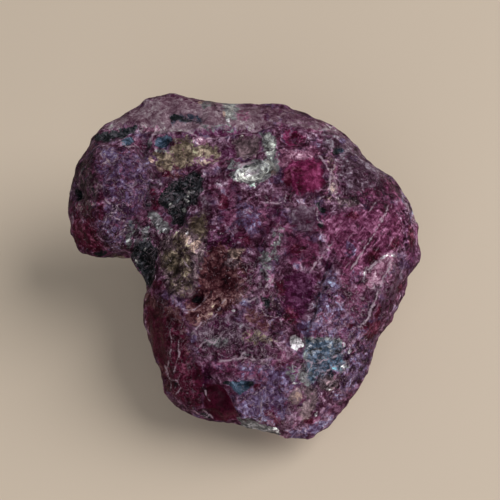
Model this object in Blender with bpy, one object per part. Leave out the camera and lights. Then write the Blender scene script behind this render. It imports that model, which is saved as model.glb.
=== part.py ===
"""A rough ruby: one worn nugget of corundum, about 30 mm across.

The stone is four blunt blocks that grew together: the body, a ridge along its back, a
lobe at the left and the neck that joins the lobe to the body. Each block is the hull of a
few corners. The blocks are merged, worn round, given their ledges, grooves and pits, and
cut flat where the stone rests. Lengths are in millimetres until the finished mesh is
scaled to metres.
"""

import math

import bmesh
import bpy
from mathutils import Matrix, Vector, noise

NAME = "rough_ruby"
METRES_PER_MM = 0.001

# The broad face looks forward and up. A point on it is given square-on to the face:
# across (to the right), up the face, and out of it. All lengths here are in millimetres.
FACE_ELEVATION = math.radians(52)
FACE_HEIGHT = 12.3

BODY_RIM = (
    # from the notch down the left, round the front, up the right and along the back
    (-9.0, -4.0, -2.0),
    (-9.35, -4.4, -1.9),
    (-9.4, -5.3, -1.7),
    (-8.85, -6.05, -1.5),
    (-8.05, -7.75, -1.0),
    (-7.5, -9.85, -0.6),
    (-7.05, -11.3, -0.3),
    (-7.35, -12.45, 0.0),
    (-6.3, -13.55, 0.2),
    (-5.1, -14.0, 0.3),
    (-3.85, -14.65, 0.5),
    (-1.55, -14.4, 0.5),
    (1.3, -15.1, 0.5),
    (3.4, -16.2, 0.5),
    (4.9, -16.1, 0.5),
    (6.35, -15.25, 0.3),
    (7.8, -13.65, 0.0),
    (9.1, -11.9, -0.4),
    (10.15, -10.35, -0.8),
    (10.15, -8.7, -1.1),
    (11.5, -6.9, -1.6),
    (12.7, -5.25, -2.0),
    (13.6, -3.45, -2.4),
    (13.9, -1.9, -2.6),
    (15.05, -1.0, -2.9),
    (14.5, -0.25, -3.1),
    (14.85, 1.6, -3.4),
    (14.4, 3.8, -3.9),
    (12.95, 6.25, -5.0),
    (11.55, 7.05, -5.4),
    (9.8, 8.8, -5.7),
    (8.65, 10.65, -5.9),
    (7.9, 11.1, -6.0),
    (6.25, 11.6, -6.2),
    (4.65, 12.9, -6.4),
    (2.0, 13.5, -6.6),
)
BODY_EDGE = (
    # where the broad face turns over into the sides, in the same order
    (-6.9, -4.2, 0.6),
    (-6.2, -7.1, 1.3),
    (-5.7, -10.0, 1.6),
    (-4.8, -12.7, 1.9),
    (-0.8, -13.6, 2.2),
    (3.3, -14.5, 2.0),
    (6.3, -13.0, 1.7),
    (8.4, -10.5, 1.2),
    (9.6, -8.0, 0.8),
    (11.2, -4.7, 0.4),
    (12.6, -1.5, -0.2),
    (13.3, 1.3, -0.9),
    (13.2, 3.9, -1.7),
    (11.4, 6.1, -2.3),
    (8.8, 8.4, -2.9),
    (6.2, 10.5, -3.5),
    (4.0, 11.4, -4.0),
)
BODY_CROWN = (
    (-2.2, 6.8, -1.4),
    (1.0, 8.5, -1.9),
    (4.4, 8.7, -1.9),
    (8.2, 5.6, -0.8),
    (11.1, 2.7, -0.3),
    (-3.9, 3.0, -0.6),
    (-5.1, -0.4, 0.1),
    (-6.1, -3.4, 0.8),
    (0.0, 1.3, 0.8),
    (5.1, 2.1, 0.8),
    (9.3, -0.8, 0.7),
    (-4.2, -7.5, 1.9),
    (0.8, -5.8, 2.2),
    (5.8, -5.4, 2.1),
    (8.8, -5.0, 1.4),
    (-2.9, -11.2, 2.4),
    (0.8, -10.7, 2.8),
    (5.0, -10.1, 2.6),
    (7.5, -9.2, 1.8),
)
BACK = (
    # the rim, the lip in front of it and the foot of the lip
    (8.2, 10.7, -5.9),
    (3.05, 12.6, -6.5),
    (1.2, 13.35, -6.6),
    (-1.4, 13.25, -6.6),
    (-3.15, 13.85, -6.6),
    (-4.95, 13.4, -6.6),
    (-6.45, 13.7, -6.6),
    (-7.6, 14.45, -6.6),
    (-8.65, 14.3, -6.5),
    (-9.6, 13.15, -6.4),
    (-11.05, 12.85, -6.2),
    (-12.45, 12.15, -6.0),
    (-11.8, 11.1, -4.6),
    (-8.9, 10.9, -3.9),
    (-6.2, 11.1, -3.5),
    (-4.0, 10.5, -3.2),
    (-2.2, 10.2, -3.1),
    (0.0, 10.7, -3.3),
    (2.7, 11.0, -3.6),
    (4.4, 10.6, -3.6),
    (-12.6, 9.7, -5.0),
    (-8.5, 8.9, -4.3),
    (-3.6, 8.9, -4.0),
    (0.9, 9.3, -3.9),
    (4.4, 9.3, -3.5),
)
LOBE = (
    # the rim, the edge of the front and the crown
    (-11.75, 12.2, -6.1),
    (-13.35, 11.8, -6.0),
    (-14.1, 10.75, -5.9),
    (-15.05, 9.05, -5.6),
    (-15.95, 7.15, -5.3),
    (-16.35, 5.6, -5.1),
    (-16.4, 4.2, -4.9),
    (-16.1, 2.8, -4.8),
    (-16.2, 1.5, -4.6),
    (-15.8, -0.15, -4.4),
    (-14.2, -0.5, -4.0),
    (-13.2, -0.45, -3.8),
    (-12.2, -0.2, -3.7),
    (-12.5, 10.0, -3.4),
    (-13.3, 8.6, -2.6),
    (-13.7, 6.6, -2.0),
    (-13.9, 4.4, -1.6),
    (-13.5, 2.4, -1.5),
    (-12.6, 1.1, -1.8),
    (-11.2, 0.5, -2.2),
    (-10.4, 9.0, -2.5),
    (-11.2, 6.1, -1.3),
    (-11.6, 3.2, -0.9),
    (-9.8, 4.3, -1.2),
    (-9.2, 7.0, -2.0),
    (-10.0, 1.9, -1.6),
)
NECK = (
    (-11.5, 0.4, -4.2),
    (-10.2, -0.2, -4.2),
    (-9.2, -1.6, -3.9),
    (-8.8, -2.9, -3.4),
    (-8.7, -4.0, -2.6),
    (-10.3, 0.9, -2.6),
    (-9.2, 3.1, -2.2),
    (-7.9, 5.7, -2.6),
    (-8.8, 9.8, -3.5),
    (-4.6, 10.0, -3.1),
    (-0.6, 9.6, -2.7),
    (-4.4, 7.0, -2.2),
    (-3.9, 4.3, -1.2),
    (-5.1, 0.9, -0.4),
    (-6.9, -1.0, -0.8),
    (-7.8, -2.8, -1.2),
)
# The hidden corners are given in the stone's own frame: right, back and up.
BODY_UNDER = (
    # the foot
    (-4.5, -6.0, -0.4),
    (1.5, -8.0, -0.4),
    (6.5, -5.5, -0.4),
    (8.0, 0.5, -0.4),
    (4.0, 5.5, -0.4),
    (-2.5, 5.0, -0.4),
    (-6.0, -0.5, -0.4),
    # the lower sides
    (-6.8, -7.5, 1.2),
    (1.0, -10.4, 1.1),
    (8.0, -8.0, 1.5),
    (10.6, -0.5, 2.0),
    (8.0, 7.5, 2.6),
    (-2.5, 9.0, 3.0),
    (-7.2, 0.5, 2.4),
    # the back
    (-3.0, 14.0, 8.0),
    (4.0, 14.6, 8.5),
    (10.0, 11.0, 6.5),
    (12.8, 4.0, 5.0),
)
BACK_UNDER = (
    (-10.0, 12.0, 7.0),
    (-4.0, 14.0, 8.0),
    (4.0, 14.4, 8.5),
    (-4.0, 4.0, 3.0),
)
LOBE_UNDER = (
    (-12.5, 6.0, 6.5),
    (-10.5, 11.5, 7.5),
    (-5.0, 5.0, 4.2),
    (-4.0, 9.0, 4.2),
)
NECK_UNDER = (
    (-9.5, 3.5, 6.5),
    (-4.0, 8.0, 4.5),
    (-4.0, 0.0, 3.0),
)

# The relief of the broad face is drawn on it, across and up. A dent has its middle, its
# half width and half height, its turn in degrees and its depth, negative for a swelling.
DENTS = (
    (0.3, 6.9, 2.3, 1.3, 22, 0.70),  # pocket of pale quartz
    (4.6, 6.5, 2.2, 2.3, 0, -0.40),  # the red window
    (3.9, 9.6, 1.7, 1.1, -15, 0.50),  # trough above the window
    (9.5, 7.0, 2.6, 2.2, -30, -0.30),  # right shoulder
    (9.7, 0.2, 4.4, 3.6, 0, -0.45),  # striped plate
    (10.9, -1.6, 1.8, 1.2, 40, -0.30),  # pale patch on the plate's corner
    (3.9, -3.9, 1.9, 2.7, 10, 0.65),  # plum hollow
    (4.2, 2.0, 1.5, 1.4, 0, 0.30),  # grey hollow above it
    (-0.2, 2.4, 1.9, 2.1, 0, -0.25),  # plum swelling
    (-4.5, -4.0, 0.9, 0.8, 20, 0.70),  # pit
    (-2.9, -2.6, 2.9, 3.3, -20, 0.45),  # red-brown hollow
    (-5.1, 1.2, 1.8, 2.6, -15, -0.30),  # olive swelling
    (-7.6, 1.6, 1.3, 1.0, 0, -0.35),  # grey swelling in the valley
    (-11.2, 5.6, 2.0, 2.8, 0, -0.30),  # front of the lobe
    (-11.6, 1.8, 1.6, 1.2, 30, -0.25),  # lower front of the lobe
    (-15.1, 5.0, 0.8, 0.9, 0, 0.45),  # pit in the lobe's side
    (-7.9, 9.7, 1.1, 0.8, 10, 0.25),  # oval dimple
    (-2.9, -12.2, 1.8, 2.4, 32, 0.50),  # polished crimson facet
    (-0.6, -11.2, 1.6, 0.9, -10, 0.35),  # teal hollow
    (6.0, -8.8, 2.2, 2.0, -20, 0.40),  # grey-green hollow
    (6.5, -11.0, 1.1, 1.0, 0, -0.30),  # knob below it
    (3.8, -12.2, 1.0, 1.0, 0, -0.25),  # round knob
    (1.6, -8.0, 3.6, 1.0, 0, -0.20),  # low bar across the bottom
    (-3.4, -13.9, 1.2, 0.7, -15, 0.45),  # chip in the front rim
    (-8.1, -7.0, 0.9, 2.2, 0, -0.20),  # swelling of the left side
)
# A groove is a line of points with its half width and its depth, negative for a ridge.
GROOVES = (
    # olive and brown hollow under the back's lip
    (((-8.0, 8.6), (-6.0, 8.9), (-4.0, 8.6), (-1.6, 8.9), (0.4, 9.5)), 1.9, 0.40),
    # black and green valley between the lobe and the body
    (((-5.4, 6.3), (-6.4, 4.1), (-7.9, 2.6), (-9.0, 0.6), (-9.4, -2.0)), 1.9, 0.95),
    # seam across the face above the plate
    (((1.6, 4.1), (4.3, 4.2), (6.1, 3.7), (8.1, 3.9), (10.4, 3.9)), 0.9, 0.20),
    # pale vein at the right of the window
    (((6.8, 8.2), (6.8, 6.0), (6.5, 4.2)), 0.8, -0.25),
    # grey-green vein down the middle
    (((2.3, 2.4), (1.5, -0.4), (1.7, -2.9), (0.4, -4.5), (-0.4, -4.2)), 0.8, -0.30),
    # dark streak in the back's slope
    (((-7.0, 11.9), (-4.5, 11.8)), 0.8, 0.40),
    # dark cleft at the top of the lobe
    (((-13.0, 10.2), (-11.6, 10.5), (-10.5, 10.9)), 0.9, 0.50),
    # ribs down the left side of the body
    (((-6.7, -6.6), (-6.4, -9.7), (-6.0, -12.0)), 0.7, -0.25),
    (((-5.2, -6.9), (-5.1, -10.2)), 0.6, 0.20),
    # vein along the right edge
    (((12.5, 0.4), (11.7, -2.5), (10.6, -4.5), (9.4, -6.6), (8.5, -8.0)), 0.7, -0.30),
)
# A ledge is a line of points with its height, and the face stands higher at its left.
LEDGES = (
    # lip of the back, over the hollow
    (((1.4, 10.7), (-0.4, 10.3), (-2.6, 10.0), (-4.8, 10.1), (-6.2, 10.5), (-9.3, 10.2)), 0.30),
    # upper edge of the body, below the hollow
    (((-5.6, 6.7), (-3.9, 7.4), (-2.6, 7.9), (-0.9, 8.0), (1.2, 8.7)), -0.20),
    # left edge of the striped plate
    (((5.1, -6.6), (5.8, -4.2), (6.9, -2.0)), -0.40),
    # right edge of the crimson facet
    (((-3.2, -10.4), (-2.0, -11.8), (-1.1, -13.5)), 0.30),
    # upper edge of the grey-green hollow
    (((3.6, -7.0), (5.6, -7.1), (8.0, -8.0)), 0.12),
)
LEDGE_REACH = 1.6
LEDGE_SOFTNESS = 0.3
# The dents and swellings of the hidden sides, in the stone's frame: middle, radius and depth.
HIDDEN_DENTS = (
    ((4.0, 15.0, 10.0), 4.2, 0.9),
    ((-4.5, 14.5, 11.5), 2.6, -0.5),
    ((-7.5, 12.5, 6.5), 3.0, 0.8),
    ((10.5, 9.5, 7.0), 3.4, -0.7),
    ((14.0, 2.0, 6.5), 3.2, 0.8),
    ((10.5, -5.0, 4.5), 2.8, -0.5),
    ((-13.0, 7.0, 6.5), 2.6, 0.7),
    ((-9.5, 2.0, 6.0), 2.4, 0.7),
    ((-7.0, -6.0, 3.5), 2.6, 0.5),
    ((2.0, 13.5, 4.0), 3.0, -0.6),
    ((0.5, 15.2, 8.0), 1.4, 0.5),
    ((8.0, 12.5, 10.0), 1.2, 0.4),
)
# The shallow hollows of the outline, on the face: middle, radius and depth.
RIM_DENTS = (
    ((10.5, 8.2, -4.6), 2.4, 0.40),  # below the right shoulder
    ((12.0, 7.2, -5.3), 1.6, 0.15),
    ((11.2, -8.3, -2.3), 2.6, 0.50),  # lower right side
    ((14.0, -2.3, -2.6), 1.3, 0.20),  # below the plate's corner
    ((0.9, -15.3, 0.1), 3.2, 0.35),  # front
    ((-2.2, -14.7, 0.1), 2.4, 0.35),
    ((-7.8, -11.0, -0.4), 1.6, 0.20),  # lower left side
    ((-8.6, -7.8, -0.9), 1.9, 0.45),
    ((-11.3, -0.6, -4.0), 2.0, 0.35),  # notch between the lobe and the body
    ((-9.5, -2.4, -3.6), 1.8, 0.30),
    ((-2.4, 13.5, -6.6), 1.4, 0.15),  # ridge along the back
    ((-5.4, 14.0, -6.6), 1.6, 0.15),
    ((6.3, 11.9, -6.2), 1.8, 0.30),
)

# The face's relief comes in as the surface turns toward its front, at this rate.
RELIEF_RISE = 2.5

# Lumps cover the whole stone, and the smaller grain roughens them.
LUMP_SIZE = 3.4
LUMP_HEIGHT = 0.30
GRAIN_SIZE = 1.7
GRAIN_HEIGHT = 0.08
NOISE_FALL = 1.0
NOISE_STEP = 2.0
NOISE_OCTAVES = 3

VOXEL = 0.35
WEAR_SHARE = 0.5
WEAR_STEPS = 6
WEAR_LOSS = 0.12  # what the wear takes off all round, put back
MOST_TRIANGLES = 9400
SHARP_ANGLE = math.radians(40)

RUBY_COLOUR = (0.115, 0.030, 0.068, 1.0)
RUBY_ROUGHNESS = 0.42


def clear_scene():
    for old in list(bpy.data.objects):
        bpy.data.objects.remove(old, do_unlink=True)


def from_face(across, up, out):
    """A point given on the broad face, in the stone's frame: right, back and up."""
    sine = math.sin(FACE_ELEVATION)
    cosine = math.cos(FACE_ELEVATION)
    return Vector((across, up * sine - out * cosine, up * cosine + out * sine + FACE_HEIGHT))


def to_face(point):
    """How far across and up the broad face a point of the stone lies."""
    height = point.z - FACE_HEIGHT
    return Vector((point.x, point.y * math.sin(FACE_ELEVATION) + height * math.cos(FACE_ELEVATION)))


def add_block(mesh, face_corners, hidden_corners):
    """Adds the convex hull of these corners."""
    corners = [from_face(*corner) for corner in face_corners]
    corners += [Vector(corner) for corner in hidden_corners]
    made = [mesh.verts.new(corner) for corner in corners]
    hull = bmesh.ops.convex_hull(mesh, input=made)
    spare = {item for item in hull["geom_interior"] + hull["geom_unused"] if item in made}
    bmesh.ops.delete(mesh, geom=list(spare), context="VERTS")


def applied(stone):
    """Turns what the modifiers make into the object's own mesh."""
    graph = bpy.context.evaluated_depsgraph_get()
    made = bpy.data.meshes.new_from_object(stone.evaluated_get(graph))
    stone.modifiers.clear()
    old, stone.data = stone.data, made
    bpy.data.meshes.remove(old)


def merged_blocks():
    blocks = bmesh.new()
    add_block(blocks, BODY_RIM + BODY_EDGE + BODY_CROWN, BODY_UNDER)
    add_block(blocks, BACK, BACK_UNDER)
    add_block(blocks, LOBE, LOBE_UNDER)
    add_block(blocks, NECK, NECK_UNDER)
    mesh = bpy.data.meshes.new(NAME)
    blocks.to_mesh(mesh)
    blocks.free()
    stone = bpy.data.objects.new(NAME, mesh)
    bpy.context.scene.collection.objects.link(stone)
    merge = stone.modifiers.new("merge", "REMESH")
    merge.mode = "VOXEL"
    merge.voxel_size = VOXEL
    wear = stone.modifiers.new("wear", "SMOOTH")
    wear.factor = WEAR_SHARE
    wear.iterations = WEAR_STEPS
    applied(stone)
    return stone


def fade(distance, reach):
    """1 at no distance, falling smoothly to 0 at the reach."""
    share = min(distance / reach, 1.0)
    return (1.0 - share * share) ** 2


def dent_depth(place, across, up, half_width, half_height, turn, depth):
    offset = Matrix.Rotation(-math.radians(turn), 2) @ (place - Vector((across, up)))
    return depth * fade(math.hypot(offset.x / half_width, offset.y / half_height), 1.0)


def nearest_on_line(place, points):
    """The distance to a line of points, and how far to the left of it the place lies."""
    best = math.inf
    left = 0.0
    for start, end in zip(points, points[1:]):
        start = Vector(start)
        along = Vector(end) - start
        offset = place - start
        share = min(max(offset.dot(along) / along.length_squared, 0.0), 1.0)
        distance = (offset - along * share).length
        if distance < best:
            best = distance
            left = (along.x * offset.y - along.y * offset.x) / along.length
    return best, left


def groove_depth(place, points, half_width, depth):
    distance, _ = nearest_on_line(place, points)
    return depth * fade(distance, half_width)


def ledge_depth(place, points, height):
    distance, left = nearest_on_line(place, points)
    return -height * math.tanh(left / LEDGE_SOFTNESS) * fade(distance, LEDGE_REACH)


def face_depth(place):
    depth = sum(dent_depth(place, *dent) for dent in DENTS)
    depth += sum(groove_depth(place, *groove) for groove in GROOVES)
    depth += sum(ledge_depth(place, *ledge) for ledge in LEDGES)
    return depth


def roughness(point):
    lumps = noise.fractal(point / LUMP_SIZE, NOISE_FALL, NOISE_STEP, NOISE_OCTAVES)
    grain = noise.fractal(point / GRAIN_SIZE, NOISE_FALL, NOISE_STEP, NOISE_OCTAVES)
    return lumps * LUMP_HEIGHT + grain * GRAIN_HEIGHT


def carve(stone):
    """Gives the worn stone its relief, along its own normals."""
    face_front = from_face(0, 0, 1) - from_face(0, 0, 0)
    hollows = [(Vector(middle), radius, depth) for middle, radius, depth in HIDDEN_DENTS]
    hollows += [(from_face(*middle), radius, depth) for middle, radius, depth in RIM_DENTS]
    surface = [(vertex, vertex.co.copy(), vertex.normal.copy()) for vertex in stone.data.vertices]
    for vertex, point, normal in surface:
        height = WEAR_LOSS + roughness(point)
        facing = min(max(normal.dot(face_front) * RELIEF_RISE, 0.0), 1.0)
        if facing > 0.0:
            height -= facing * face_depth(to_face(point))
        for middle, radius, depth in hollows:
            height -= depth * fade((point - middle).length, radius)
        vertex.co = point + normal * height


def thin_out(stone):
    stone.data.calc_loop_triangles()
    fewer = stone.modifiers.new("fewer", "DECIMATE")
    fewer.ratio = MOST_TRIANGLES / len(stone.data.loop_triangles)
    fewer.use_collapse_triangulate = True
    applied(stone)


def cut_base(stone):
    """Cuts the flat that the stone rests on, at height 0."""
    mesh = bmesh.new()
    mesh.from_mesh(stone.data)
    geometry = mesh.verts[:] + mesh.edges[:] + mesh.faces[:]
    cut = bmesh.ops.bisect_plane(
        mesh, geom=geometry, plane_co=(0, 0, 0), plane_no=(0, 0, -1), clear_outer=True
    )
    rim = [item for item in cut["geom_cut"] if isinstance(item, bmesh.types.BMEdge)]
    bmesh.ops.contextual_create(mesh, geom=rim)
    bmesh.ops.triangulate(mesh, faces=mesh.faces[:])
    bmesh.ops.recalc_face_normals(mesh, faces=mesh.faces[:])
    mesh.to_mesh(stone.data)
    mesh.free()


def settle(stone):
    """Puts the origin under the middle of the stone and turns millimetres to metres."""
    across = [vertex.co.x for vertex in stone.data.vertices]
    deep = [vertex.co.y for vertex in stone.data.vertices]
    middle = Vector(((min(across) + max(across)) / 2, (min(deep) + max(deep)) / 2, 0))
    stone.data.transform(Matrix.Scale(METRES_PER_MM, 4) @ Matrix.Translation(-middle))
    stone.data.shade_smooth()
    stone.data.set_sharp_from_angle(angle=SHARP_ANGLE)


def add_material(stone):
    ruby = bpy.data.materials.new("ruby")
    ruby.use_nodes = True
    surface = ruby.node_tree.nodes["Principled BSDF"]
    surface.inputs["Base Color"].default_value = RUBY_COLOUR
    surface.inputs["Roughness"].default_value = RUBY_ROUGHNESS
    surface.inputs["Metallic"].default_value = 0.0
    stone.data.materials.clear()
    stone.data.materials.append(ruby)


def main():
    clear_scene()
    stone = merged_blocks()
    carve(stone)
    thin_out(stone)
    cut_base(stone)
    settle(stone)
    add_material(stone)


main()
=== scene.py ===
"""The rough ruby as photographed: plum corundum with crimson windows, pale quartz and
black-green host rock, worn smooth in places and granular in others."""

import math

import bpy
import numpy as np
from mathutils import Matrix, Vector, noise


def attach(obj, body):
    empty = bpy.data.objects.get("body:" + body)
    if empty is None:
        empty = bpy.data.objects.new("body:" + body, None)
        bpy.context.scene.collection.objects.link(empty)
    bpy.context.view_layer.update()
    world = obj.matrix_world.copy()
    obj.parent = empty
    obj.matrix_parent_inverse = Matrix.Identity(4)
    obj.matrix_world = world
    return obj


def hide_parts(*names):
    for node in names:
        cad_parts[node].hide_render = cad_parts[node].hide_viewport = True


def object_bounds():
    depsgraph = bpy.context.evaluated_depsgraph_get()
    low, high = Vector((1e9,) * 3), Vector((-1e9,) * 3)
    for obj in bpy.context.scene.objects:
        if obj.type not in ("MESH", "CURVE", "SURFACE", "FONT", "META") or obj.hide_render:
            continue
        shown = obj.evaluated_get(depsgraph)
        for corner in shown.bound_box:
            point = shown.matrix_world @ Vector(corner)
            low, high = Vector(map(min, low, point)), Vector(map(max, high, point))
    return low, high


MM = 0.001
NODE = "rough_ruby"

# The camera looks square-on at the broad face. The middle of that face, where the middle
# of the photograph falls, is in the stone's frame, in millimetres.
FACE_MIDDLE = Vector((0.631, -1.313, 12.3))
FACE_ELEVATION = math.radians(52)
SIGHT_DIRECTION = (0.0, -math.cos(FACE_ELEVATION), math.sin(FACE_ELEVATION))
SIGHT_DISTANCE = 88.8
LENS_MM = 75.0
SENSOR_MM = 36.0
CLIP_START = 0.005
FRAME_PX = 500
PX_MIDDLE = 250.0
FOCAL_PX = LENS_MM / SENSOR_MM * FRAME_PX
MM_PER_PX = SIGHT_DISTANCE / FOCAL_PX

# The visual stone's mesh
VOXEL = 0.170
SMOOTH_STEPS = 6
SMOOTH_FACTOR = 0.5
BASE_FADE = 0.6

FLOOR_SIZE = 1.2
FLOOR_COLOUR = (0.68, 0.57, 0.45, 1.0)
FLOOR_GRAIN = 40.0

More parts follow.
